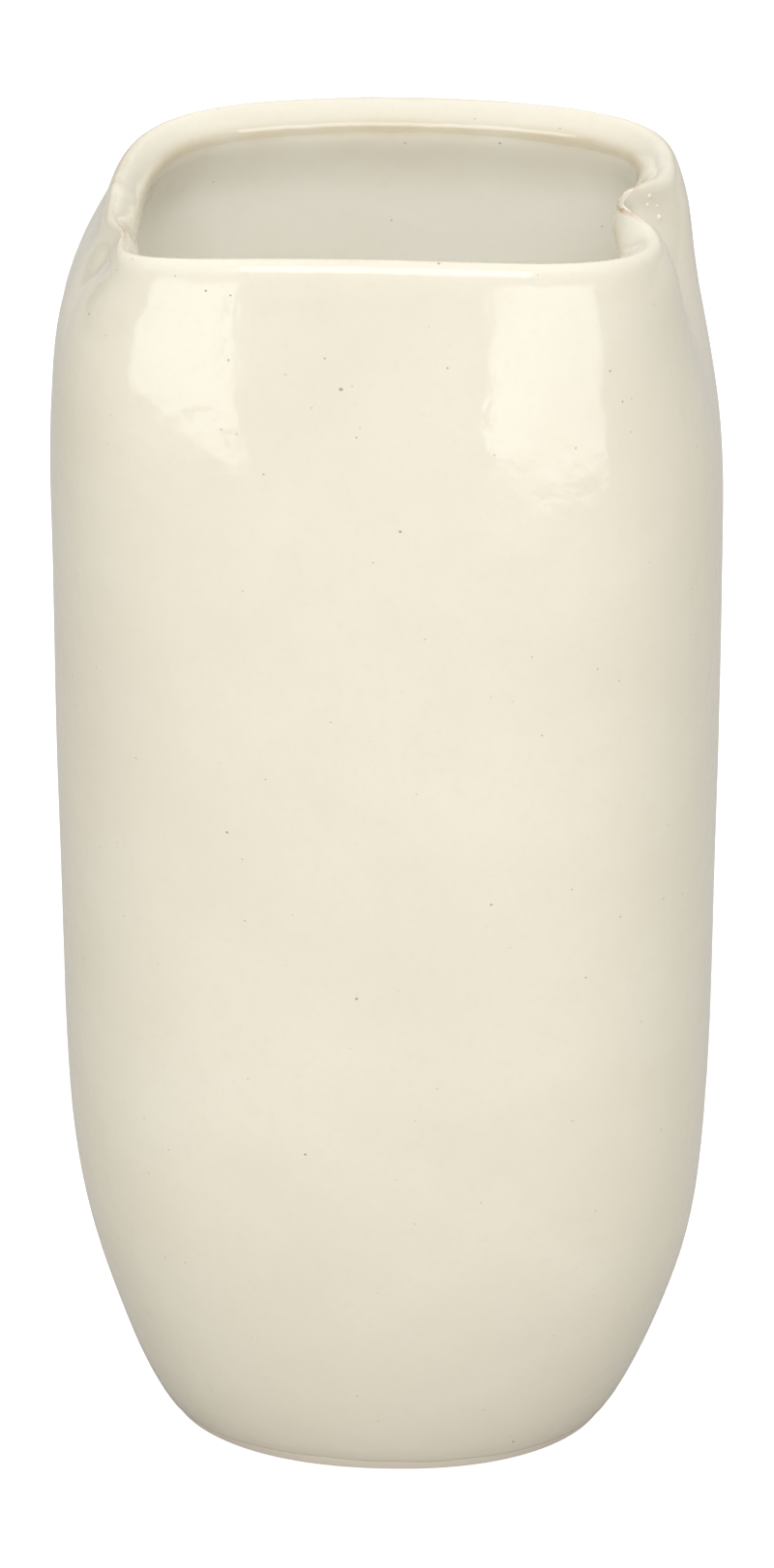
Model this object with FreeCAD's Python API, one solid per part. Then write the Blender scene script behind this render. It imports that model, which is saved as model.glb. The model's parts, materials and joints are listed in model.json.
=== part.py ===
import FreeCAD
import Part
import math
import os
from FreeCAD import Vector

# A slab-built stoneware pillow vase. Lengths are millimetres. The foot stands on z = 0,
# +Z is up, +X is the right side and -Y is the front.

# Overall form, outside the glaze
height = 344.0
belly_width = 170.0
belly_depth = 143.0
rim_width = 146.0
rim_depth = 125.0
foot_width = 117.0
foot_depth = 95.0

# Clay and glaze
wall = 8.0
lip_width = 11.0
floor_thickness = 10.0
glaze = 0.5
bare_foot = 3.0
foot_edge = 1.2

# Rim: it arches up at the middle of both faces, and leans a little to the right
rim_arch = 4.0
rim_lean = 1.0
rim_strip_height = 15.0
rim_lap_step = 0.7
rim_lap_place = -20.0
rim_lap_length = 6.0
front_corner_drop = 0.8

# Side pinches, where the two slabs were pressed in at the top of each seam
right_pinch = 15.0
right_pinch_inside = 8.0
right_pinch_spread = 13.0
right_pinch_fade = 22.0
right_pinch_place = -4.0
left_pinch = 6.0
left_pinch_inside = 1.0
left_pinch_spread = 8.0
left_pinch_fade = 14.0
left_pinch_place = -34.0
inside_spread_share = 2.0

# Luting coils, pressed into the inside of the seams
seam_coil_width = 10.0
seam_coil_depth = 4.0
seam_rebate = 1.5
seam_coil_end = 12.0
floor_coil_height = 16.0
floor_coil_rebate = 1.5

# How square the outline is in plan: 2 is an ellipse, more is squarer
foot_squareness = 2.15
belly_squareness = 2.7
rim_squareness = 3.0
front_left_squareness = 1.6
back_left_squareness = 0.5
back_right_squareness = 1.4
front_right_squareness = 0.3

# Lattice of the surfaces
points_round = 64
gather_share = 0.55
lip_meeting_row = 3.5
degree = 3
overrun = 60.0

# From foot to belly: share of the height, then share of the swell on the right, left and depth
swell_shares = [
    (-0.040, -0.36, -0.33, -0.34),
    (-0.015, -0.12, -0.11, -0.12),
    (0.012, 0.12, 0.11, 0.13),
    (0.050, 0.35, 0.32, 0.34),
    (0.100, 0.59, 0.52, 0.54),
    (0.165, 0.85, 0.76, 0.74),
    (0.240, 0.94, 0.92, 0.88),
    (0.330, 0.98, 0.97, 0.96),
    (0.430, 0.98, 0.97, 0.99),
]
# From belly to rim: share of the height, then share of the draw on the right, left and depth
draw_shares = [
    (0.540, 0.00, 0.00, 0.00),
    (0.640, 0.00, 0.00, 0.04),
    (0.730, -0.01, 0.00, 0.14),
    (0.800, 0.07, -0.04, 0.28),
    (0.860, 0.37, 0.05, 0.46),
    (0.910, 0.68, 0.14, 0.66),
    (0.945, 0.80, 0.48, 0.82),
    (0.968, 0.90, 0.86, 0.92),
]
# Over the lip: share of the way across, then share of the lip's width below the crest
lip_shares = [(0.03, 0.55), (0.12, 0.20), (0.28, 0.02), (0.50, 0.08), (0.72, 0.28), (0.93, 0.50), (1.00, 0.78)]
# Down into the floor: share of the way in, then share of the last height above the floor
corner_shares = [(0.01, 0.70), (0.04, 0.42), (0.09, 0.18), (0.19, 0.03), (0.32, 0.00), (0.42, 0.00)]
inner_top_share = 0.96
inner_foot_share = 2.2


def turns():
    """Angles round the vase, gathered towards the two sides where the pinches are."""
    even = [2 * math.pi * i / points_round for i in range(points_round)]
    return [angle - gather_share * math.sin(2 * angle) / 2 for angle in even]


def between(start, end, share):
    return start + (end - start) * share


def levels():
    """Level heights with half sizes: (z, right, left, depth, squareness, lean, draw)."""
    made = []
    for up, right, left, deep in swell_shares:
        made.append((
            height * up,
            between(foot_width, belly_width, right) / 2,
            between(foot_width, belly_width, left) / 2,
            between(foot_depth, belly_depth, deep) / 2,
            between(foot_squareness, belly_squareness, max(0, right)),
            0.0,
            0.0,
        ))
    for up, right, left, deep in draw_shares:
        made.append((
            height * up,
            between(belly_width, rim_width, right) / 2,
            between(belly_width, rim_width, left) / 2,
            between(belly_depth, rim_depth, deep) / 2,
            between(belly_squareness, rim_squareness, deep),
            rim_lean * deep,
            deep,
        ))
    return made


def rim_level():
    return (height, rim_width / 2, rim_width / 2, rim_depth / 2, rim_squareness, rim_lean, 1.0)


def bump(distance, spread):
    return math.exp(-((distance / spread) ** 2))


def lap_step(x):
    """Small rise where one end of the rim strip laps over the other, on the back."""
    return rim_lap_step * (1 + math.tanh((x - rim_lap_place) / rim_lap_length)) / 2 - rim_lap_step


def corner_extra(c, s):
    """How much squarer the rim's corner is in the direction (c, s)."""
    if s < 0:
        extra = front_right_squareness if c > 0 else front_left_squareness
    else:
        extra = back_right_squareness if c > 0 else back_left_squareness
    return extra * 4 * (c * s) ** 2


def section(level, right, left, spread):
    """One closed ring of lattice points at a level, pressed in by the side pinches."""
    z, half_right, half_left, half_depth, squareness, lean, drawn = level
    below = max(0, height - z)
    right_here = right * math.exp(-((below / right_pinch_fade) ** 1.5))
    left_here = left * math.exp(-((below / left_pinch_fade) ** 1.5))
    near_rim = max(0, z / height) ** 8
    ring = []
    for angle in turns():
        c = math.cos(angle)
        s = math.sin(angle)
        power = squareness + drawn * corner_extra(c, s)
        reach = (abs(c) ** power + abs(s) ** power) ** (-1 / power)
        y = half_depth * s * reach
        if c > 0:
            x = half_right * c * reach - right_here * bump(y - right_pinch_place, right_pinch_spread * spread)
        else:
            x = half_left * c * reach + left_here * bump(y - left_pinch_place, left_pinch_spread * spread)
        aside = 2 * x / rim_width
        sag = rim_arch * aside ** 2
        if y < 0:
            sag += front_corner_drop * aside ** 4
        else:
            sag -= lap_step(x) * s ** 8
        ring.append((x + lean, y, z - sag * near_rim))
    return ring


def moved(rows, depth_at):
    """The lattice moved inwards along its normals, by depth_at(point)."""
    made = []
    for j, row in enumerate(rows):
        lower = rows[max(0, j - 1)]
        upper = rows[min(len(rows) - 1, j + 1)]
        ring = []
        for i, point in enumerate(row):
            round_way = Vector(*row[(i + 1) % len(row)]) - Vector(*row[i - 1])
            up_way = Vector(*upper[i]) - Vector(*lower[i])
            normal = round_way.cross(up_way).normalize()
            ring.append(tuple(Vector(*point) - normal * depth_at(point)))
        made.append(ring)
    return made


def place_at(column, z):
    """Where a column of lattice points passes a height."""
    for low, high in zip(column, column[1:]):
        if high[2] >= z:
            share = (z - low[2]) / (high[2] - low[2])
            return between(low[0], high[0], share), between(low[1], high[1], share)
    return column[-1][0], column[-1][1]


def outer_rows():
    return [section(level, right_pinch, left_pinch, 1) for level in levels()]


def soft_rows():
    """The same form with the gentler pinches that show on the inside."""
    rows = levels() + [rim_level()]
    return [section(level, right_pinch_inside, left_pinch_inside, inside_spread_share) for level in rows]


def vase_rows(inset):
    """The whole surface from under the foot, over the lip and down to the floor, moved in by inset."""
    outside = outer_rows()
    crest_out = section(rim_level(), right_pinch, left_pinch, 1)
    crest_in = moved(soft_rows(), lambda point: lip_width)[-1]
    over = []
    for across, drop in lip_shares:
        ring = []
        for out_point, in_point in zip(crest_out, crest_in):
            x = between(out_point[0], in_point[0], across)
            y = between(out_point[1], in_point[1], across)
            ring.append((x, y, out_point[2] - drop * lip_width))
        over.append(ring)
    inner_wall = moved(soft_rows(), lambda point: wall)
    inside = []
    for level, ring in zip(levels(), inner_wall):
        if inner_foot_share * floor_thickness < level[0] < inner_top_share * height:
            inside.insert(0, ring)
    last = inside[-1]
    for inward, rise in corner_shares:
        ring = []
        for i, point in enumerate(last):
            z = between(floor_thickness, point[2], rise)
            x, y = place_at([row[i] for row in inner_wall], z)
            ring.append((x * (1 - inward), y * (1 - inward), z))
        inside.append(ring)
    rows = outside + over + inside
    if inset:
        rows = moved(rows, lambda point: inset)
    return rows


def level_ring(ring):
    middle = sum(point[2] for point in ring) / len(ring)
    return [(x, y, middle) for x, y, z in ring]


def skin(rows):
    """A smooth surface over the lattice, closed round the vase, with level ends."""
    rows = [level_ring(rows[0])] + rows[1:-1] + [level_ring(rows[-1])]
    poles = [[Vector(*row[i]) for row in rows] for i in range(points_round)]
    spans = len(rows) - degree
    ends = degree + 1
    surface = Part.BSplineSurface()
    surface.buildFromPolesMultsKnots(
        poles,
        [1] * (points_round + 1),
        [ends] + [1] * (spans - 1) + [ends],
        list(range(points_round + 1)),
        list(range(spans + 1)),
        True,
        False,
        degree,
        degree,
    )
    return surface


def stretch(surface, start, end):
    """The face of a skin between two rows of its lattice."""
    piece = surface.copy()
    around = piece.bounds()[1]
    piece.segment(0, around, start, end)
    return piece.toShape()


def ring_edge(surface, row):
    return surface.vIso(row).toShape()


def cap(surface, row):
    return Part.Face(Part.Wire(ring_edge(surface, row)))


def solid_of(faces):
    shell = Part.makeShell(faces)
    shell.sewShape()
    solid = Part.makeSolid(shell)
    if solid.Volume < 0:
        solid.reverse()
    return solid


def closed_solid(rows):
    """A solid bounded by the skin of the lattice and a flat cap on each end."""
    surface = skin(rows)
    end = surface.bounds()[3]
    return solid_of([surface.toShape(), cap(surface, 0), cap(surface, end)])


def slice_box(low, high):
    """A wide block between two heights."""
    half = belly_width + overrun
    return Part.makeBox(2 * half, 2 * half, high - low, Vector(-half, -half, low))


def half_box(side):
    """A block that holds everything in front of (side -1) or behind (side 1) the side seams."""
    half = belly_width + overrun
    corner = Vector(-half, 0 if side > 0 else -half, -half)
    return Part.makeBox(2 * half, half, height + 2 * half, corner)


def seam_block(side):
    """A block along the seam on the left (side -1) or the right (side 1)."""
    half = belly_width + overrun
    corner = Vector(0 if side > 0 else -half, -seam_coil_width, 0)
    return Part.makeBox(half, 2 * seam_coil_width, height, corner)


def tool_solid(depth_at):
    """A filled form inside the wall, for cutting, whose side lies depth_at below the outside."""
    rows = moved(soft_rows(), depth_at)
    top = [(x, y, z + overrun) for x, y, z in rows[-1]]
    return closed_solid(rows + [top])


def seam_depth(point):
    near = bump(point[1], seam_coil_width / 2)
    return wall + seam_rebate - (seam_coil_depth + seam_rebate) * near


def softened_foot(slab):
    """The floor slab with its standing edge rounded."""
    standing = [edge for edge in slab.Edges if edge.BoundBox.ZMax < foot_edge / 2]
    return slab.makeFillet(foot_edge, standing)


def glaze_coats():
    """The two coats of glaze, which meet on the inner side of the lip."""
    face = skin(vase_rows(0))
    back = skin(vase_rows(glaze))
    end = face.bounds()[3]
    meeting = len(levels()) + lip_meeting_row
    bridge = Part.makeRuledSurface(ring_edge(face, meeting), ring_edge(back, meeting))
    under = Part.makeRuledSurface(ring_edge(face, 0), ring_edge(back, 0))
    outer = solid_of([stretch(face, 0, meeting), stretch(back, 0, meeting), bridge, under])
    liner = solid_of([
        stretch(face, meeting, end),
        stretch(back, meeting, end),
        bridge,
        cap(face, end),
        cap(back, end),
    ])
    return outer, liner


def build():
    strip_base = height - rim_strip_height
    floor_top = floor_thickness - glaze

    outer_coat, liner_glaze = glaze_coats()
    outer_glaze = outer_coat.common(slice_box(bare_foot, height + overrun))
    clay = closed_solid(vase_rows(glaze))

    rim_strip = clay.common(slice_box(strip_base, height + overrun))
    floor_slab = softened_foot(clay.common(slice_box(0, floor_top)))
    walls = clay.common(slice_box(floor_top, strip_base))

    coil_room = tool_solid(lambda point: wall - floor_coil_rebate)
    coil_room = coil_room.common(slice_box(floor_top, floor_top + floor_coil_height))
    floor_coil = walls.common(coil_room)
    walls = walls.cut(coil_room)

    grooves = tool_solid(seam_depth)
    grooves = grooves.common(slice_box(floor_top + floor_coil_height, strip_base - seam_coil_end))
    coils = []
    for side in (-1, 1):
        groove = grooves.common(seam_block(side))
        coils.append(walls.common(groove))
        walls = walls.cut(groove)
    left_coil, right_coil = coils
    return {
        "front_slab": walls.common(half_box(-1)),
        "back_slab": walls.common(half_box(1)),
        "floor_slab": floor_slab,
        "rim_strip": rim_strip,
        "floor_coil": floor_coil,
        "left_seam_coil": left_coil,
        "right_seam_coil": right_coil,
        "outer_glaze": outer_glaze,
        "liner_glaze": liner_glaze,
    }


os.makedirs("parts", exist_ok=True)
for name, shape in build().items():
    box = shape.optimalBoundingBox(False)
    print(name, shape.isValid(), len(shape.Solids), "volume", round(shape.Volume), "box",
          [round(v, 1) for v in (box.XMin, box.YMin, box.ZMin, box.XMax, box.YMax, box.ZMax)])
    shape.exportStep(f"parts/{name}.step")
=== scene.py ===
import bpy
import bmesh
import json
from math import atan2, cos, exp, pi, radians, sin
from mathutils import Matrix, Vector
from mathutils.bvhtree import BVHTree

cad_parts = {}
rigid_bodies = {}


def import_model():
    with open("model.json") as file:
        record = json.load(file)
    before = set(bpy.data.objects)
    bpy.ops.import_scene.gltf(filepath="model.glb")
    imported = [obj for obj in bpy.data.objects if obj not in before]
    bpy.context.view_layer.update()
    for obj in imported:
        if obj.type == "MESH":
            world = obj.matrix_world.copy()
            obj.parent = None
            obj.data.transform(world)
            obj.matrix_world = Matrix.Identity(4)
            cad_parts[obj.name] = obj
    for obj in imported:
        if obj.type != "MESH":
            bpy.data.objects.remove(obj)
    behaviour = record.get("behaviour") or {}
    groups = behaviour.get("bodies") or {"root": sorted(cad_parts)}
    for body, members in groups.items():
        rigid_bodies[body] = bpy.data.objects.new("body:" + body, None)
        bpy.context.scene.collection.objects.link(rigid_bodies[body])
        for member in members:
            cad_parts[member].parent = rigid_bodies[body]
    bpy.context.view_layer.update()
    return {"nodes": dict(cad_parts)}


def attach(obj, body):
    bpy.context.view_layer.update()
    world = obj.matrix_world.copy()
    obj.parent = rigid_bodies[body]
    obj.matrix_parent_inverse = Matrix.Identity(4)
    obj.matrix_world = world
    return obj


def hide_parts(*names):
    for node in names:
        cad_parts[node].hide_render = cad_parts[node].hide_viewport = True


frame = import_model()
nodes = frame["nodes"]
mm = 0.001
print("frame loaded:", ", ".join(sorted(nodes)))


# helpers for picking, editing and finishing pieces

def pickOnly(*pieces):
    bpy.ops.object.select_all(action="DESELECT")
    for piece in pieces:
        piece.select_set(True)
    bpy.context.view_layer.objects.active = pieces[0]


def selectInEdit(piece, kind, test):
    # selects vertices, edges or faces by their place or normal
    bpy.ops.mesh.select_mode(type={"verts": "VERT", "edges": "EDGE", "faces": "FACE"}[kind])
    bpy.ops.mesh.select_all(action="DESELECT")
    mesh = bmesh.from_edit_mesh(piece.data)
    count = 0
    for item in getattr(mesh, kind):
        if test(item):
            item.select_set(True)
            count += 1
    bmesh.update_edit_mesh(piece.data)
    return count


def deleteFaces(piece, test):
    pickOnly(piece)
    bpy.ops.object.mode_set(mode="EDIT")
    selectInEdit(piece, "faces", test)
    bpy.ops.mesh.delete(type="FACE")
    bpy.ops.object.mode_set(mode="OBJECT")


def applyModifier(piece, kind, **values):
    pickOnly(piece)
    modifier = piece.modifiers.new(kind.title(), kind)
    for key, value in values.items():
        setattr(modifier, key, value)
    bpy.ops.object.modifier_apply(modifier=modifier.name)


def wrappedOn(piece, target, **values):
    applyModifier(piece, "SHRINKWRAP", target=target, **values)


def treeOf(piece):
    return BVHTree.FromPolygons([v.co.copy() for v in piece.data.vertices],
                                [list(p.vertices) for p in piece.data.polygons])


def clamped(value):
    return min(max(value, 0), 1)


# the CAD glaze, as one open skin: only the faces that can be seen, not those against the clay

skinValues = {
    "weld": 0.02,
    "touching": 0.1,
    "awayShare": 0.6,
}


def mergedCopy(names, newName):
    # one welded copy of several CAD nodes, which stay as they are
    pickOnly(*[nodes[name] for name in names])
    bpy.ops.object.duplicate()
    copies = list(bpy.context.selected_objects)
    for piece in copies:
        piece.parent = None
        for key in list(piece.keys()):
            del piece[key]
    bpy.context.view_layer.objects.active = copies[0]
    bpy.ops.object.join()
    made = bpy.context.view_layer.objects.active
    made.name = newName
    bpy.ops.object.mode_set(mode="EDIT")
    bpy.ops.mesh.select_all(action="SELECT")
    bpy.ops.mesh.remove_doubles(threshold=skinValues["weld"] * mm)
    bpy.ops.object.mode_set(mode="OBJECT")
    return made


glazeSkin = mergedCopy(["outer_glaze", "liner_glaze"], "glazeSkin")
clayBody = mergedCopy(["front_slab", "back_slab", "rim_strip", "floor_slab", "floor_coil",
                       "left_seam_coil", "right_seam_coil"], "clayBody")
clayTree = treeOf(clayBody)


def facesTheClay(face):
    # true for a face of the glaze that lies against the clay or between the two coats
    centre = face.calc_center_median()
    away = centre - clayTree.find_nearest(centre)[0]
    if away.length < skinValues["touching"] * mm:
        return True
    return face.normal.dot(away.normalized()) < skinValues["awayShare"]


deleteFaces(glazeSkin, facesTheClay)
skinTree = treeOf(glazeSkin)
print("glaze skin ready:", len(glazeSkin.data.polygons), "faces")


# the glazed form, pulled up ring by ring as a cage and then settled on the CAD skin

vaseForm = {
    "pointsRound": 160,
    "outsideHeights": [3, 3.5, 4.2, 5.2, 7, 9.5, 12.5, 16, 21, 27, 34, 42, 51, 61, 72, 84, 97, 111,
                       126, 142, 158, 174, 190, 205, 219, 232, 244, 255, 265, 274, 282, 289, 295,
                       301, 306, 311, 315, 319, 323, 326.5, 330, 333, 335],
    "insideHeights": [334, 331.5, 328, 324, 320, 315, 310, 304, 297, 289, 280, 269, 256, 241, 224,
                      206, 187, 168, 149, 130, 111, 93, 76, 61, 48, 37, 29, 23],
    "outsideOval": (96, 82),
    "insideOval": (44, 36),
    "farthestWrap": 60,
    "rimFollow": (300, 333),
    "rimSearch": (50, 86),
    "rimDirections": 72,
    "rimFeltFrom": 0.4,
    "floorRings": [(0.965, 18.5), (0.95, 15.2), (0.945, 12.9), (0.93, 11.5), (0.9, 10.6),
                   (0.86, 10.2), (0.82, 10)],
    "floorRingTest": 2,
    "lipCuts": 11,
    "lipDepth": 6.3,
    "lipRaise": 20,
    "lipEdgeTest": 12,
    "footReach": 50,
}
lipEasing = {
    "turns": 4,
    "foldsAbove": 310,
    "foldAngle": 50,
    "foldGrowth": 3,
    "foldSmoothing": 0.5,
    "foldRepeats": 12,
    "lipAbove": 318,
    "lipSmoothing": 0.3,
    "lift": 0.4,
}


def rimHeight(angle):
    # how high the rim stands in this direction, felt from above in steps of half a millimetre
    nearest, farthest = vaseForm["rimSearch"]
    found = []
    for step in range(2 * nearest, 2 * farthest):
        place = Vector((cos(angle), sin(angle), 0)) * step * mm / 2
        start = Vector((place.x, place.y, vaseForm["rimFeltFrom"]))
        hit = skinTree.ray_cast(start, Vector((0, 0, -1)))[0]
        if hit:
            found.append(hit.z)
    return max(found) / mm


directions = vaseForm["rimDirections"]
rimHeights = [rimHeight(2 * pi * number / directions) for number in range(directions)]
middleHeight = sum(rimHeights) / directions


def rimLift(x, y):
    turn = (atan2(y, x) / (2 * pi) % 1) * directions
    first, part = int(turn) % directions, turn % 1
    return rimHeights[first] * (1 - part) + rimHeights[(first + 1) % directions] * part - middleHeight


def ringTube(name, heights, size, inside):
    # an upright oval tube, extruded from height to height, whose rings then go straight to the skin
    bpy.ops.object.select_all(action="DESELECT")
    bpy.ops.mesh.primitive_circle_add(vertices=vaseForm["pointsRound"], radius=1,
                                      fill_type="NOTHING", location=(0, 0, heights[0] * mm))
    tube = bpy.context.object
    tube.name = name
    bpy.ops.object.transform_apply(location=True, rotation=True, scale=True)
    bpy.ops.object.mode_set(mode="EDIT")
    bpy.ops.mesh.select_mode(type="EDGE")
    bpy.ops.mesh.select_all(action="SELECT")
    bpy.ops.transform.resize(value=(size[0] * mm, size[1] * mm, 1),
                             center_override=(0, 0, heights[0] * mm))
    for low, high in zip(heights, heights[1:]):
        bpy.ops.mesh.extrude_region_move(TRANSFORM_OT_translate={"value": (0, 0, (high - low) * mm)})
    bpy.ops.mesh.select_all(action="SELECT")
    bpy.ops.mesh.normals_make_consistent(inside=inside)
    bpy.ops.object.mode_set(mode="OBJECT")
    low, high = vaseForm["rimFollow"]
    for point in tube.data.vertices:  # the upper rings rise and fall with the rim
        share = clamped((point.co.z / mm - low) / (high - low))
        point.co.z += rimLift(point.co.x, point.co.y) * share * mm
    wrappedOn(tube, glazeSkin, wrap_method="PROJECT", use_negative_direction=True,
              use_positive_direction=not inside, project_limit=vaseForm["farthestWrap"] * mm)
    return tube


outside = ringTube("outside", vaseForm["outsideHeights"], vaseForm["outsideOval"], False)
inside = ringTube("inside", vaseForm["insideHeights"], vaseForm["insideOval"], True)
print("tubes wrapped on the skin")

# the floor of the inside: rings drawn in over the corner, and a grid in the middle
pickOnly(inside)
bpy.ops.object.mode_set(mode="EDIT")
lastHeight = vaseForm["insideHeights"][-1]
ringTop = (lastHeight + vaseForm["floorRingTest"]) * mm
selectInEdit(inside, "edges", lambda e: all(v.co.z < ringTop for v in e.verts))
for share, height in vaseForm["floorRings"]:
    bpy.ops.mesh.extrude_region_move(
        TRANSFORM_OT_translate={"value": (0, 0, (height - lastHeight) * mm)})
    bpy.ops.transform.resize(value=(share, share, 1), center_override=(0, 0, height * mm))
    lastHeight = height
bpy.ops.mesh.fill_grid(span=vaseForm["pointsRound"] // 4)
bpy.ops.mesh.select_all(action="SELECT")
bpy.ops.object.vertex_group_assign_new()
bpy.ops.object.mode_set(mode="OBJECT")
inside.vertex_groups[0].name = "linerPart"

# the lip: the two top rings bridged, and the new rings let down on the rim from above
pickOnly(outside, inside)
bpy.ops.object.join()
form = bpy.context.view_layer.objects.active
form.name = "glazedForm"
pointsBefore = len(form.data.vertices)
bpy.ops.object.mode_set(mode="EDIT")
edgesAbove = (vaseForm["outsideHeights"][-1] - vaseForm["lipEdgeTest"]) * mm
selectInEdit(form, "edges", lambda e: e.is_boundary and all(v.co.z > edgesAbove for v in e.verts))
bpy.ops.mesh.bridge_edge_loops(number_cuts=vaseForm["lipCuts"], interpolation="LINEAR")
bpy.ops.mesh.select_all(action="SELECT")
bpy.ops.mesh.normals_make_consistent(inside=False)
selectInEdit(form, "verts", lambda v: v.index >= pointsBefore)
bpy.ops.object.vertex_group_assign_new()
bpy.ops.transform.translate(value=(0, 0, vaseForm["lipRaise"] * mm))
bpy.ops.object.mode_set(mode="OBJECT")
form.vertex_groups[-1].name = "lipPart"
reach = vaseForm["footReach"] * mm
footFace = min(form.data.polygons, key=lambda p: p.center.z if p.center.xy.length > reach else 1)
if footFace.normal.dot(Vector((footFace.center.x, footFace.center.y, 0))) < 0:
    bpy.ops.object.mode_set(mode="EDIT")
    bpy.ops.mesh.select_all(action="SELECT")
    bpy.ops.mesh.flip_normals()
    bpy.ops.object.mode_set(mode="OBJECT")
wrappedOn(form, glazeSkin, wrap_method="PROJECT", use_project_z=True, use_negative_direction=True,
          use_positive_direction=False, vertex_group="lipPart")
for point in form.data.vertices:  # points that fell past the edge go back up beside it
    lowest = middleHeight + rimLift(point.co.x, point.co.y) - vaseForm["lipDepth"]
    if point.index >= pointsBefore and point.co.z / mm < lowest:
        point.co.z = lowest * mm
wrappedOn(form, glazeSkin, wrap_method="NEAREST_SURFACEPOINT")


def folded(edge):
    high = edge.verts[0].co.z > lipEasing["foldsAbove"] * mm
    return len(edge.link_faces) == 2 and high and edge.calc_face_angle() > radians(lipEasing["foldAngle"])


for turn in range(lipEasing["turns"]):  # eased, most where it folds on itself, and let down again
    pickOnly(form)
    bpy.ops.object.mode_set(mode="EDIT")
    folds = selectInEdit(form, "edges", folded)
    if folds:
        for grow in range(lipEasing["foldGrowth"]):
            bpy.ops.mesh.select_more()
        bpy.ops.mesh.vertices_smooth(factor=lipEasing["foldSmoothing"], repeat=lipEasing["foldRepeats"])
    selectInEdit(form, "verts", lambda v: v.co.z > lipEasing["lipAbove"] * mm and not v.is_boundary)
    bpy.ops.mesh.vertices_smooth(factor=lipEasing["lipSmoothing"], repeat=1)
    bpy.ops.transform.shrink_fatten(value=lipEasing["lift"] * mm)
    bpy.ops.object.mode_set(mode="OBJECT")
    wrappedOn(form, glazeSkin, wrap_method="NEAREST_SURFACEPOINT")
    print("lip eased,", folds, "folded edges")
applyModifier(form, "SUBSURF", subdivision_type="SIMPLE", levels=1, render_levels=1)
wrappedOn(form, glazeSkin, wrap_method="NEAREST_SURFACEPOINT")


# soft unevenness of hand-pressed walls and pooled glaze: only inwards, within the thickness of the coat

unevenness = {
    "waves": {"slowWaves": {"size": 0.034, "depth": 0.16}, "quickWaves": {"size": 0.011, "depth": 0.035}},
    "dents": [((-42, -60, 52), 16, 0.16), ((36, -62, 44), 18, 0.16), ((-5, -60, 47), 30, 0.10),
              ((8, -56, 10), 4, 0.12), ((20, -70, 168), 26, 0.08), ((50, 68, 210), 22, 0.15),
              ((-40, 70, 120), 24, 0.15), ((83, 10, 240), 18, 0.14)],
    "dentReach": 2.5,
    "coatThickness": 0.42,
}
glazeLine = {  # where the outer coat ends above the bare foot
    "bottom": 3,
    "top": 7,
    "steepest": 0.7,
    "roll": 0.34,
    "rollHeight": 1.1,
    "waver": 0.28,
    "swings": [(0.5, 3, 0.7), (0.3, 7, 2), (0.2, 17, 1.1)],
}

pickOnly(form)
for name, waves in unevenness["waves"].items():
    cloud = bpy.data.textures.new(name, "CLOUDS")
    cloud.noise_scale = waves["size"]
    cloud.noise_depth = 1
    applyModifier(form, "DISPLACE", texture=cloud, texture_coords="LOCAL", direction="NORMAL",
                  mid_level=1, strength=waves["depth"] * mm)
    bpy.data.textures.remove(cloud)
normals = [v.normal.copy() for v in form.data.vertices]
for point, normal in zip(form.data.vertices, normals):
    for place, size, depth in unevenness["dents"]:
        gap = (point.co / mm - Vector(place)).length
        if gap < unevenness["dentReach"] * size:
            point.co -= normal * depth * mm * exp(-(gap / size) ** 2)
    height = point.co.z / mm
    if height < glazeLine["top"] and normal.z < glazeLine["steepest"]:  # its edge is rolled in and wavers
        angle = atan2(point.co.y, point.co.x)
        roll = glazeLine["roll"] * max(0, 1 - (height - glazeLine["bottom"]) / glazeLine["rollHeight"]) ** 2
        point.co -= Vector((normal.x, normal.y, 0)) * roll * mm
        waver = 1 + sum(size * sin(times * angle + start) for size, times, start in glazeLine["swings"])
        fade = (glazeLine["top"] - height) / (glazeLine["top"] - glazeLine["bottom"])
        point.co.z += waver * glazeLine["waver"] * fade * mm
print("walls made uneven")


# shades that follow the form: thin glaze on sharp turns, amber glaze with painted shade inside the mouth,
# pooled glaze with painted shade in hollows and painted shade in the folds

shades = {
    "smoothing": 3,
    "sharpFrom": 55, "sharpSpan": 130, "sharpBelow": 12, "sharpOutside": 0.3, "sharpElsewhere": 0.6,
    "innerFrom": -0.1, "innerSpan": 0.5,
    "amberFrom": -0.25, "amberSpan": 0.4, "amberLine": 6.0, "amberWidth": 1.9,
    "washShare": 0.3, "washStart": 5, "washRise": 3, "washEnd": 24, "washFade": 16,
    "hollowFrom": 12, "hollowSpan": 60,
    # painted shade: soft darker patches in the pinched folds at both sides, where they lie in shadow
    "paintedFoldShades": [((67, 7, 334), 8, 0.9), ((-66, 2, 334), 5, 0.4)],
}


def meanOfNeighbours(values, links):
    return [(value + sum(values[n] for n in near)) / (1 + len(near)) for value, near in zip(values, links)]


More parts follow.
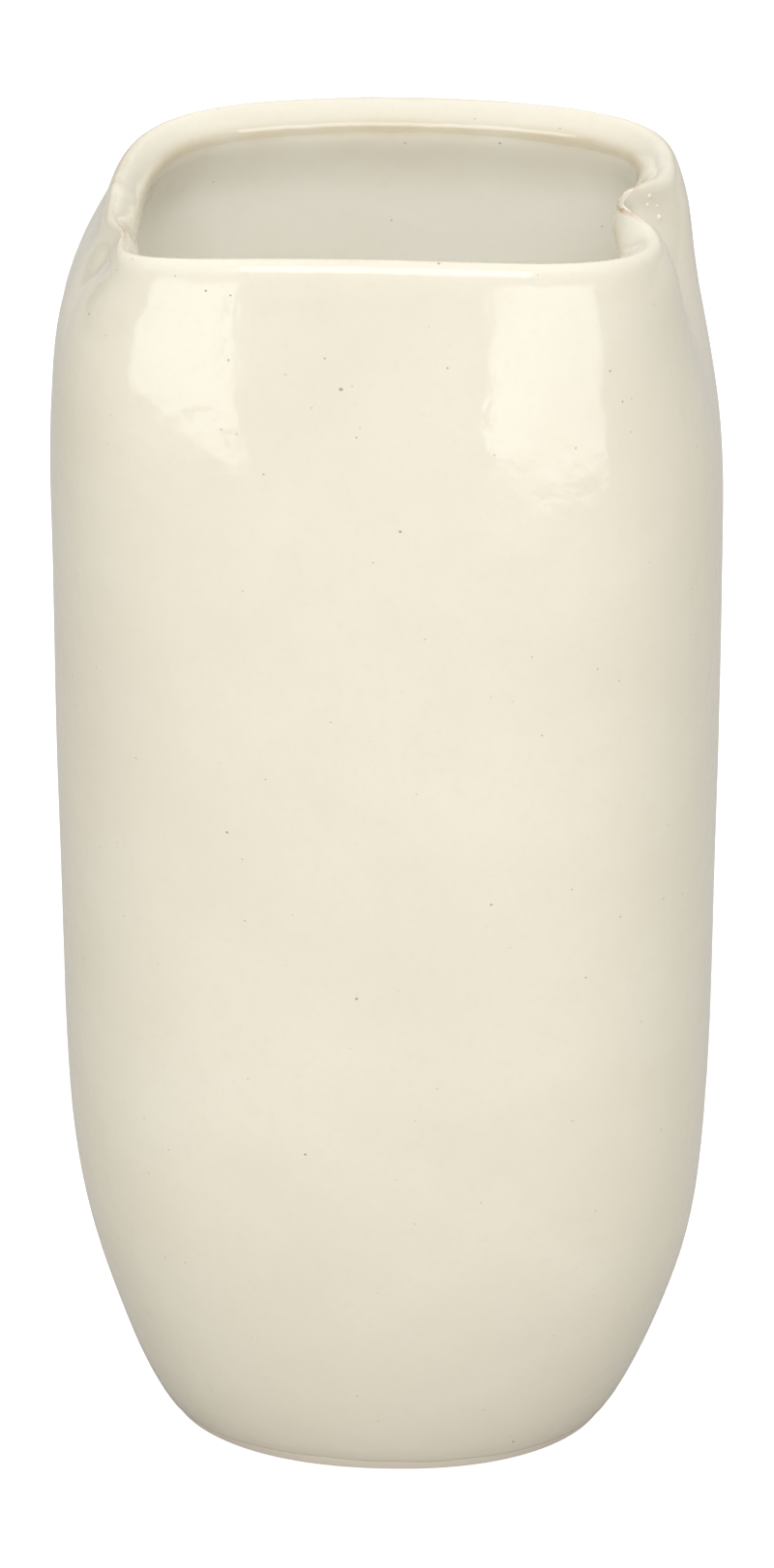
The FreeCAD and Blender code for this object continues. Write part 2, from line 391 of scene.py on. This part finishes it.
points = form.data.vertices
links = [[] for point in points]
for edge in form.data.edges:
    first, second = edge.vertices
    links[first].append(second)
    links[second].append(first)
turns = []
for point in points:
    bends = [point.normal.dot(point.co - points[n].co) / (point.co - points[n].co).length_squared
             for n in links[point.index]]
    turns.append(sum(bends) / len(bends))
for repeat in range(shades["smoothing"]):
    turns = meanOfNeighbours(turns, links)
thin, amber, hollow = [], [], []
for point, turn in zip(points, turns):
    below = middleHeight + rimLift(point.co.x, point.co.y) - point.co.z / mm
    looksIn = -point.normal.dot(Vector((point.co.x, point.co.y, 0)).normalized())
    inner = clamped((looksIn - shades["innerFrom"]) / shades["innerSpan"])
    sharp = clamped((turn - shades["sharpFrom"]) / shades["sharpSpan"])
    nearLip = shades["sharpOutside"] + (1 - shades["sharpOutside"]) * inner
    thin.append(sharp * (nearLip if below < shades["sharpBelow"] else shades["sharpElsewhere"]))
    # amber glaze and painted shade: a brownish line just under the lip and a wash down the inward-facing
    # walls inside the mouth, where the lip shades them
    line = exp(-((below - shades["amberLine"]) / shades["amberWidth"]) ** 2)
    rise = clamped((below - shades["washStart"]) / shades["washRise"])
    fall = clamped((shades["washEnd"] - below) / shades["washFade"])
    facing = clamped((looksIn - shades["amberFrom"]) / shades["amberSpan"])
    amber.append(facing * max(line, shades["washShare"] * rise * fall))
    # pooled glaze and painted shade on concave turns, and painted shade in the folds
    poolsAndShade = [strength * exp(-((point.co / mm - Vector(place)).length / size) ** 2)
             for place, size, strength in shades["paintedFoldShades"]]
    hollow.append(max(clamped((-turn - shades["hollowFrom"]) / shades["hollowSpan"]), *poolsAndShade))
for name, values in (("thinGlaze", thin), ("amberPoolAndShade", amber), ("hollowPoolAndShade", hollow)):
    form.data.attributes.new(name, "FLOAT", "POINT").data.foreach_set("value", values)
print("shades ready, sharpest turn", round(max(turns)))


# the two coats, cut apart just inside the mouth and given their thickness

coatCut = {
    "linerShare": 0.99,
    "smoothUnder": 75,
}


def cutCoat(name, keepLiner):
    pickOnly(form)
    bpy.ops.object.duplicate()
    coat = bpy.context.view_layer.objects.active
    coat.name = name
    group = coat.vertex_groups["linerPart"].index
    share = [sum(g.weight for g in v.groups if g.group == group) for v in coat.data.vertices]
    deleteFaces(coat, lambda f: (min(share[v.index] for v in f.verts) > coatCut["linerShare"]) != keepLiner)
    coat.vertex_groups.clear()
    applyModifier(coat, "SOLIDIFY", thickness=unevenness["coatThickness"] * mm, offset=-1,
                  use_rim=True, use_quality_normals=True)
    pickOnly(coat)
    bpy.ops.object.shade_smooth_by_angle(angle=radians(coatCut["smoothUnder"]))
    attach(coat, "root")
    print(name, "has", len(coat.data.polygons), "faces")
    return coat


outerCoat = cutCoat("outerGlazeCoat", False)
linerCoat = cutCoat("linerGlazeCoat", True)

# small marks on the glaze: beads left in the fold at the right, and iron spots that have come through
glazeMarks = {
    "beads": [((64.8, 6.3, 337.3), 0.75), ((64.4, 4.9, 335.5), 0.6), ((67.3, 5.7, 332.0), 0.95),
              ((66.2, 7.4, 334.2), 0.45)],
    "beadHeight": 0.7,
    "spots": [((15.9, -59.2, 342.9), 0.42), ((-7.4, -65.4, 312.1), 0.55), ((7.2, -68.6, 276.4), 0.42),
              ((-36.0, -68.3, 193.8), 0.4), ((30.1, -69.3, 176.3), 0.34), ((-3.5, -71.0, 149.8), 0.42),
              ((-16.8, -69.2, 104.3), 0.4), ((-40.5, -60.6, 335.0), 0.36), ((-34.4, -61.5, 334.3), 0.3),
              ((-11.4, -64.5, 319.7), 0.3), ((18.4, -64.4, 317.9), 0.28), ((57.5, -54.9, 314.4), 0.3),
              ((60.6, -53.8, 306.0), 0.3), ((-26.3, -66.9, 289.9), 0.28), ((-3.6, -66.7, 300.1), 0.26),
              ((35.6, -44.8, 8.3), 0.45), ((53.7, -62.0, 153.2), 0.28), ((42.3, -66.5, 221.8), 0.25),
              ((-22, 70, 262), 0.4), ((31, 70, 118), 0.36), ((12, 71, 186), 0.3), ((84, 4, 208), 0.4),
              ((-84, 10, 150), 0.36), ((-83, -14, 236), 0.3), ((80, 20, 92), 0.32)],
    "spotHeight": 0.14,
    "ovalShare": 0.85,
    "sunkShare": 0.3,
}
formTree = treeOf(form)


def glazeMark(name, place, radius, flatness):
    # a small rounded drop that sits in the glaze, turned to face the way the wall does
    spot, normal = formTree.find_nearest(Vector(place) * mm)[:2]
    bpy.ops.object.select_all(action="DESELECT")
    bpy.ops.mesh.primitive_uv_sphere_add(segments=16, ring_count=8, radius=radius * mm)
    drop = bpy.context.object
    drop.name = name
    bpy.ops.object.mode_set(mode="EDIT")
    bpy.ops.mesh.select_all(action="SELECT")
    bpy.ops.transform.resize(value=(1, glazeMarks["ovalShare"], flatness), center_override=(0, 0, 0))
    bpy.ops.object.mode_set(mode="OBJECT")
    drop.rotation_euler = normal.to_track_quat("Z", "Y").to_euler()
    drop.location = spot - normal * glazeMarks["sunkShare"] * flatness * radius * mm
    bpy.ops.object.transform_apply(location=True, rotation=True, scale=True)
    bpy.ops.object.shade_smooth()
    return drop


beads = [glazeMark("bead", place, radius, glazeMarks["beadHeight"]) for place, radius in glazeMarks["beads"]]
spots = [glazeMark("spot", place, radius, glazeMarks["spotHeight"]) for place, radius in glazeMarks["spots"]]
print("glaze marks:", len(beads), "beads and", len(spots), "spots")
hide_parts("outer_glaze")
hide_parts("liner_glaze")


# helpers for materials

def newMaterial(name):
    material = bpy.data.materials.new(name)
    material.use_nodes = True
    tree = material.node_tree
    return material, tree, tree.nodes["Principled BSDF"]


def addNode(tree, kind, **values):
    node = tree.nodes.new("ShaderNode" + kind)
    for key, value in values.items():
        if hasattr(node, key):
            setattr(node, key, value)
        else:
            node.inputs[key.replace("_", " ")].default_value = value
    return node


def reMapped(tree, value, low, high, toLow, toHigh):
    node = addNode(tree, "MapRange", From_Min=low, From_Max=high, To_Min=toLow, To_Max=toHigh)
    tree.links.new(value, node.inputs["Value"])
    return node.outputs["Result"]


def noise(tree, place, scale, detail, roughness):
    node = addNode(tree, "TexNoise", Scale=scale, Detail=detail, Roughness=roughness)
    tree.links.new(place, node.inputs["Vector"])
    return node.outputs["Fac"]


def cloudy(tree, place, pattern, share=(0, 1)):
    # noise between two of its values, as a share between two others
    return reMapped(tree, noise(tree, place, *pattern["noise"]), *pattern["between"], *share)


def mixed(tree, share, first, second):
    # first and second are colours or sockets that give one
    node = tree.nodes.new("ShaderNodeMix")
    node.data_type = "RGBA"
    tree.links.new(share, node.inputs["Factor"])
    for side, value in ((6, first), (7, second)):
        if isinstance(value, tuple):
            node.inputs[side].default_value = (*value, 1)
        else:
            tree.links.new(value, node.inputs[side])
    return node.outputs[2]


def combined(tree, operation, first, second):
    node = tree.nodes.new("ShaderNodeMath")
    node.operation = operation
    for slot, value in enumerate((first, second)):
        if isinstance(value, (int, float)):
            node.inputs[slot].default_value = value
        else:
            tree.links.new(value, node.inputs[slot])
    return node.outputs["Value"]


dotCore = 0.35  # the inner share of a dot's radius that has its full strength


def dots(tree, place, pattern):
    # scattered round dots: cells about spacing apart, of which a share has a dot; all in metres
    spacing, radius, share = pattern["spacing"], pattern["radius"], pattern["share"]
    cells = addNode(tree, "TexVoronoi", Scale=1 / spacing)
    tree.links.new(place, cells.inputs["Vector"])
    pick = tree.nodes.new("ShaderNodeSeparateColor")
    tree.links.new(cells.outputs["Color"], pick.inputs["Color"])
    chosen = combined(tree, "LESS_THAN", pick.outputs["Red"], share)
    spot = reMapped(tree, cells.outputs["Distance"], radius / spacing, dotCore * radius / spacing, 0, 1)
    return combined(tree, "MULTIPLY", spot, chosen)


def bumped(tree, height, pattern, under=None):
    node = addNode(tree, "Bump", Strength=pattern["strength"], Distance=pattern["depth"],
                   invert=pattern.get("inwards", False))
    tree.links.new(height, node.inputs["Height"])
    if under is not None:
        tree.links.new(under, node.inputs["Normal"])
    return node.outputs["Normal"]


def attribute(tree, name):
    return addNode(tree, "Attribute", attribute_name=name).outputs["Fac"]


def dress(piece, material):
    piece.data.materials.clear()
    piece.data.materials.append(material)


# the cream glaze: cloudy and mottled, amber glaze with painted shade under the lip, pooled glaze with
# painted shade in hollows and folds, brown where it is thin, finely specked

outerLook = {
    "cream": (0.725, 0.683, 0.562),
    "paleCream": (0.755, 0.715, 0.60),
    "pinkCream": (0.725, 0.667, 0.553),
    "greyCream": (0.69, 0.652, 0.532),
    "thinBrown": (0.46, 0.30, 0.155),
    # amber: amber glaze and painted shade under the lip and just inside the mouth
    "amber": (0.615, 0.51, 0.335),
    "amberShare": 0.72,
    # pooled: pooled glaze and painted shade in hollows, painted shade in the folds
    "pooledAndShaded": (0.50, 0.455, 0.36),
    "pooledAndShadedShare": 0.5,
    "speck": (0.38, 0.29, 0.195),
    "paleSpeck": (0.50, 0.40, 0.28),
    "faintSpeck": (0.56, 0.48, 0.36),
    "roughness": (0.07, 0.13),
    "spotRoughness": 0.16,
    "ior": 1.52,
}
# painted light: the inside coat gets much paler creams than the outside, standing in for light that the
# lamps do not bring into the mouth
paintedPaleLinerLook = {
    **outerLook,
    "cream": (0.96, 0.932, 0.835),
    "paleCream": (0.965, 0.942, 0.85),
    "pinkCream": (0.96, 0.918, 0.815),
    "greyCream": (0.93, 0.90, 0.80),
    "amber": (0.78, 0.66, 0.45),
    "amberShare": 0.9,
}
glazePattern = {
    "clouds": {"noise": (16, 3, 0.6), "between": (0.38, 0.66)},
    "blush": {"noise": (9, 2, 0.5), "between": (0.5, 0.72), "most": 0.75},
    "mottle": {"noise": (420, 2, 0.6), "between": (0.5, 0.8), "most": 0.35},
    "amberBreaks": {"noise": (48, 2, 0.5), "between": (0.35, 0.62), "least": 0.45},
    "thinBreaks": {"noise": (210, 3, 0.6), "between": (0.36, 0.6), "least": 0.45},
    "faintSpecks": {"spacing": 0.0055, "radius": 0.00032, "share": 0.5, "most": 0.55},
    "darkSpecks": {"spacing": 0.012, "radius": 0.00042, "share": 0.22, "most": 0.7},
    "gloss": {"noise": (45, 2, 0.5), "between": (0.35, 0.65)},
    "spotGrain": {"noise": (2600, 2, 0.6), "between": (0.35, 0.65)},
    "ripple": {"noise": (120, 2, 0.45), "strength": 0.32, "depth": 0.0006},
    "peel": {"noise": (700, 1, 0.5), "strength": 0.10, "depth": 0.0002},
    "pinholes": {"strength": 0.6, "depth": 0.0003, "inwards": True},
}


def creamGlaze(name, look):
    material, tree, shader = newMaterial(name)
    place = tree.nodes.new("ShaderNodeTexCoord").outputs["Object"]
    pattern = glazePattern
    colour = mixed(tree, cloudy(tree, place, pattern["clouds"]), look["cream"], look["paleCream"])
    for part, shade in (("blush", "pinkCream"), ("mottle", "greyCream")):
        share = cloudy(tree, place, pattern[part], (0, pattern[part]["most"]))
        colour = mixed(tree, share, colour, look[shade])
    # darker pooled colour: pooled glaze and painted shade in hollows and folds
    poolsAndShade = combined(tree, "MULTIPLY", attribute(tree, "hollowPoolAndShade"), look["pooledAndShadedShare"])
    colour = mixed(tree, poolsAndShade, colour, look["pooledAndShaded"])
    # amber glaze and painted shade mixed in under the lip and inside the mouth
    amberRange = (pattern["amberBreaks"]["least"] * look["amberShare"], look["amberShare"])
    uneven = cloudy(tree, place, pattern["amberBreaks"], amberRange)
    amberShare = combined(tree, "MULTIPLY", attribute(tree, "amberPoolAndShade"), uneven)
    colour = mixed(tree, amberShare, colour, look["amber"])
    broken = cloudy(tree, place, pattern["thinBreaks"], (pattern["thinBreaks"]["least"], 1))
    thinness = combined(tree, "MULTIPLY", attribute(tree, "thinGlaze"), broken)
    colour = mixed(tree, thinness, colour, look["thinBrown"])
    specks = []
    for part, shade in (("faintSpecks", "faintSpeck"), ("darkSpecks", "speck")):
        specks.append(dots(tree, place, pattern[part]))
        share = combined(tree, "MULTIPLY", specks[-1], pattern[part]["most"])
        colour = mixed(tree, share, colour, look[shade])
    tree.links.new(colour, shader.inputs["Base Color"])
    gloss = cloudy(tree, place, pattern["gloss"], look["roughness"])
    tree.links.new(gloss, shader.inputs["Roughness"])
    shader.inputs["IOR"].default_value = look["ior"]

    surface = bumped(tree, noise(tree, place, *pattern["ripple"]["noise"]), pattern["ripple"])
    surface = bumped(tree, noise(tree, place, *pattern["peel"]["noise"]), pattern["peel"], surface)
    surface = bumped(tree, combined(tree, "MAXIMUM", *specks), pattern["pinholes"], surface)
    tree.links.new(surface, shader.inputs["Normal"])
    return material


def ironSpot():
    # iron showing through the glaze: brown, in darker and paler grains
    material, tree, shader = newMaterial("ironSpot")
    place = tree.nodes.new("ShaderNodeTexCoord").outputs["Object"]
    grain = cloudy(tree, place, glazePattern["spotGrain"])
    colour = mixed(tree, grain, outerLook["speck"], outerLook["paleSpeck"])
    tree.links.new(colour, shader.inputs["Base Color"])
    shader.inputs["Roughness"].default_value = outerLook["spotRoughness"]
    shader.inputs["IOR"].default_value = outerLook["ior"]
    return material


dress(outerCoat, creamGlaze("outerCreamGlaze", outerLook))
for bead in beads:
    dress(bead, outerCoat.data.materials[0])
brown = ironSpot()
for spot in spots:
    dress(spot, brown)
pickOnly(outerCoat, *beads, *spots)
bpy.ops.object.join()
for scrap in (form, glazeSkin, clayBody):
    bpy.data.objects.remove(scrap)
# the liner's paler colours are painted light for the inside
dress(linerCoat, creamGlaze("linerGlazePaintedPale", paintedPaleLinerLook))


# the bare clay under the glaze and at the foot: sandy and matt, with dark and pale grains

clays = {"front_slab": "front_clay", "back_slab": "back_clay", "floor_slab": "floor_clay",
         "rim_strip": "rim_clay", "floor_coil": "coil_clay", "left_seam_coil": "coil_clay",
         "right_seam_coil": "coil_clay"}
clayLook = {
    "front_clay": (0.53, 0.44, 0.34),
    "back_clay": (0.535, 0.44, 0.335),
    "floor_clay": (0.52, 0.43, 0.33),
    "rim_clay": (0.54, 0.45, 0.35),
    "coil_clay": (0.51, 0.42, 0.32),
    "grog": (0.30, 0.22, 0.15),
    "paleGrain": (0.72, 0.64, 0.53),
    "darker": 0.9,
    "paler": 1.07,
    "roughness": 0.82,
    "shine": 0.3,
}
clayPattern = {
    "clouds": {"noise": (55, 4, 0.6), "between": (0.3, 0.7)},
    "paleGrains": {"spacing": 0.0022, "radius": 0.0003, "share": 0.5, "most": 0.6},
    "grog": {"spacing": 0.0042, "radius": 0.00035, "share": 0.35, "most": 0.7},
    "sand": {"noise": (900, 3, 0.65), "strength": 0.55, "depth": 0.0004},
    "drag": {"noise": (140, 3, 0.5), "strength": 0.35, "depth": 0.0008},
}


def buffClay(name, base):
    material, tree, shader = newMaterial(name)
    place = tree.nodes.new("ShaderNodeTexCoord").outputs["Object"]
    pattern = clayPattern
    darker, paler = [tuple(value * clayLook[side] for value in base) for side in ("darker", "paler")]
    colour = mixed(tree, cloudy(tree, place, pattern["clouds"]), darker, paler)
    for part, shade in (("paleGrains", "paleGrain"), ("grog", "grog")):
        share = combined(tree, "MULTIPLY", dots(tree, place, pattern[part]), pattern[part]["most"])
        colour = mixed(tree, share, colour, clayLook[shade])
    tree.links.new(colour, shader.inputs["Base Color"])
    shader.inputs["Roughness"].default_value = clayLook["roughness"]
    shader.inputs["Specular IOR Level"].default_value = clayLook["shine"]
    surface = bumped(tree, noise(tree, place, *pattern["sand"]["noise"]), pattern["sand"])
    surface = bumped(tree, noise(tree, place, *pattern["drag"]["noise"]), pattern["drag"], surface)
    tree.links.new(surface, shader.inputs["Normal"])
    return material


for node, clay in clays.items():
    dress(nodes[node], bpy.data.materials.get(clay) or buffClay(clay, clayLook[clay]))
print("materials ready")


# stage: pale floor, white background, camera and soft lamps

stage = {
    "floorSize": 8,
    "floorDrop": 0.2,
    "floorColour": (0.36, 0.345, 0.32, 1),
    "floorRoughness": 0.9,
    "floorGlow": 0.9,
    "mirroredFloor": 0.1,
    "horizonLight": 0.1,
    "zenithLight": 1.54,
    "backLight": 1.2,
    "backLightFrom": 0.5,
    "mirroredLight": 0.14,
    "lamps": {
        "leftLamp": {"place": (-0.67, -1.05, 0.24), "size": (0.78, 0.48), "watts": 2.8, "aim": 0.24},
        "rightLamp": {"place": (0.68, -1.04, 0.24), "size": (0.98, 0.48), "watts": 3.4, "aim": 0.24},
        "frontLamp": {"place": (0.1, -1.95, 1.6), "size": (1.6, 0.85), "watts": 16.6, "aim": 0.3},
    },
}

bpy.ops.object.select_all(action="DESELECT")
bpy.ops.mesh.primitive_plane_add(size=stage["floorSize"], location=(0, 0, -stage["floorDrop"] * mm))
floor = bpy.context.object
floor.name = "floor"
floorMaterial, floorTree, floorShader = newMaterial("paleFloor")
floorShader.inputs["Base Color"].default_value = stage["floorColour"]
floorShader.inputs["Roughness"].default_value = stage["floorRoughness"]
floorShader.inputs["Emission Color"].default_value = (1, 1, 1, 1)
rays = floorTree.nodes.new("ShaderNodeLightPath")
seen = combined(floorTree, "MAXIMUM", rays.outputs["Is Camera Ray"], rays.outputs["Is Transmission Ray"])
mirrored = combined(floorTree, "MULTIPLY", rays.outputs["Is Glossy Ray"], stage["mirroredFloor"])
floorSeen = combined(floorTree, "MAXIMUM", seen, mirrored)
floorTree.links.new(combined(floorTree, "MULTIPLY", floorSeen, stage["floorGlow"]),
                    floorShader.inputs["Emission Strength"])
floor.data.materials.append(floorMaterial)

world = bpy.data.worlds.new("studio")
bpy.context.scene.world = world
world.use_nodes = True
skyTree = world.node_tree
sky = skyTree.nodes["Background"]
sky.inputs["Color"].default_value = (1, 1, 1, 1)
rays = skyTree.nodes.new("ShaderNodeLightPath")
seen = combined(skyTree, "MAXIMUM", rays.outputs["Is Camera Ray"], rays.outputs["Is Transmission Ray"])
direction = skyTree.nodes.new("ShaderNodeSeparateXYZ")
skyTree.links.new(skyTree.nodes.new("ShaderNodeTexCoord").outputs["Generated"], direction.inputs["Vector"])
soft = reMapped(skyTree, direction.outputs["Z"], 0, 1, stage["horizonLight"], stage["zenithLight"])
behind = reMapped(skyTree, direction.outputs["Y"], stage["backLightFrom"], 1, 0, stage["backLight"])
notMirrored = combined(skyTree, "SUBTRACT", 1, rays.outputs["Is Glossy Ray"])
soft = combined(skyTree, "ADD", soft, combined(skyTree, "MULTIPLY", behind, notMirrored))
mirrored = combined(skyTree, "MULTIPLY", rays.outputs["Is Glossy Ray"], stage["mirroredLight"])
skyTree.links.new(combined(skyTree, "MAXIMUM", combined(skyTree, "MAXIMUM", seen, soft), mirrored),
                  sky.inputs["Strength"])

view = {
    "target": Vector((-0.00048, 0, 0.1766)),
    "distance": 1.889,
    "azimuth": 3.73,
    "elevation": 24.84,
    "lens": 167.8,
    "sensor": 36,
}
turn, lift = radians(view["azimuth"]), radians(view["elevation"])
away = Vector((sin(turn) * cos(lift), -cos(turn) * cos(lift), sin(lift)))
bpy.ops.object.camera_add(location=view["target"] + away * view["distance"])
camera = bpy.context.object
camera.rotation_euler = away.to_track_quat("Z", "Y").to_euler()
camera.data.lens = view["lens"]
camera.data.sensor_fit = "VERTICAL"
camera.data.sensor_height = view["sensor"]
bpy.context.scene.camera = camera

for name, values in stage["lamps"].items():
    bpy.ops.object.light_add(type="AREA", location=values["place"])
    lamp = bpy.context.object
    lamp.name = name
    lamp.data.shape = "RECTANGLE"
    lamp.data.size, lamp.data.size_y = values["size"]
    lamp.data.energy = values["watts"]
    towards = Vector(values["place"]) - Vector((0, 0, values["aim"]))
    lamp.rotation_euler = towards.to_track_quat("Z", "Y").to_euler()

bpy.context.scene.view_settings.view_transform = "Standard"
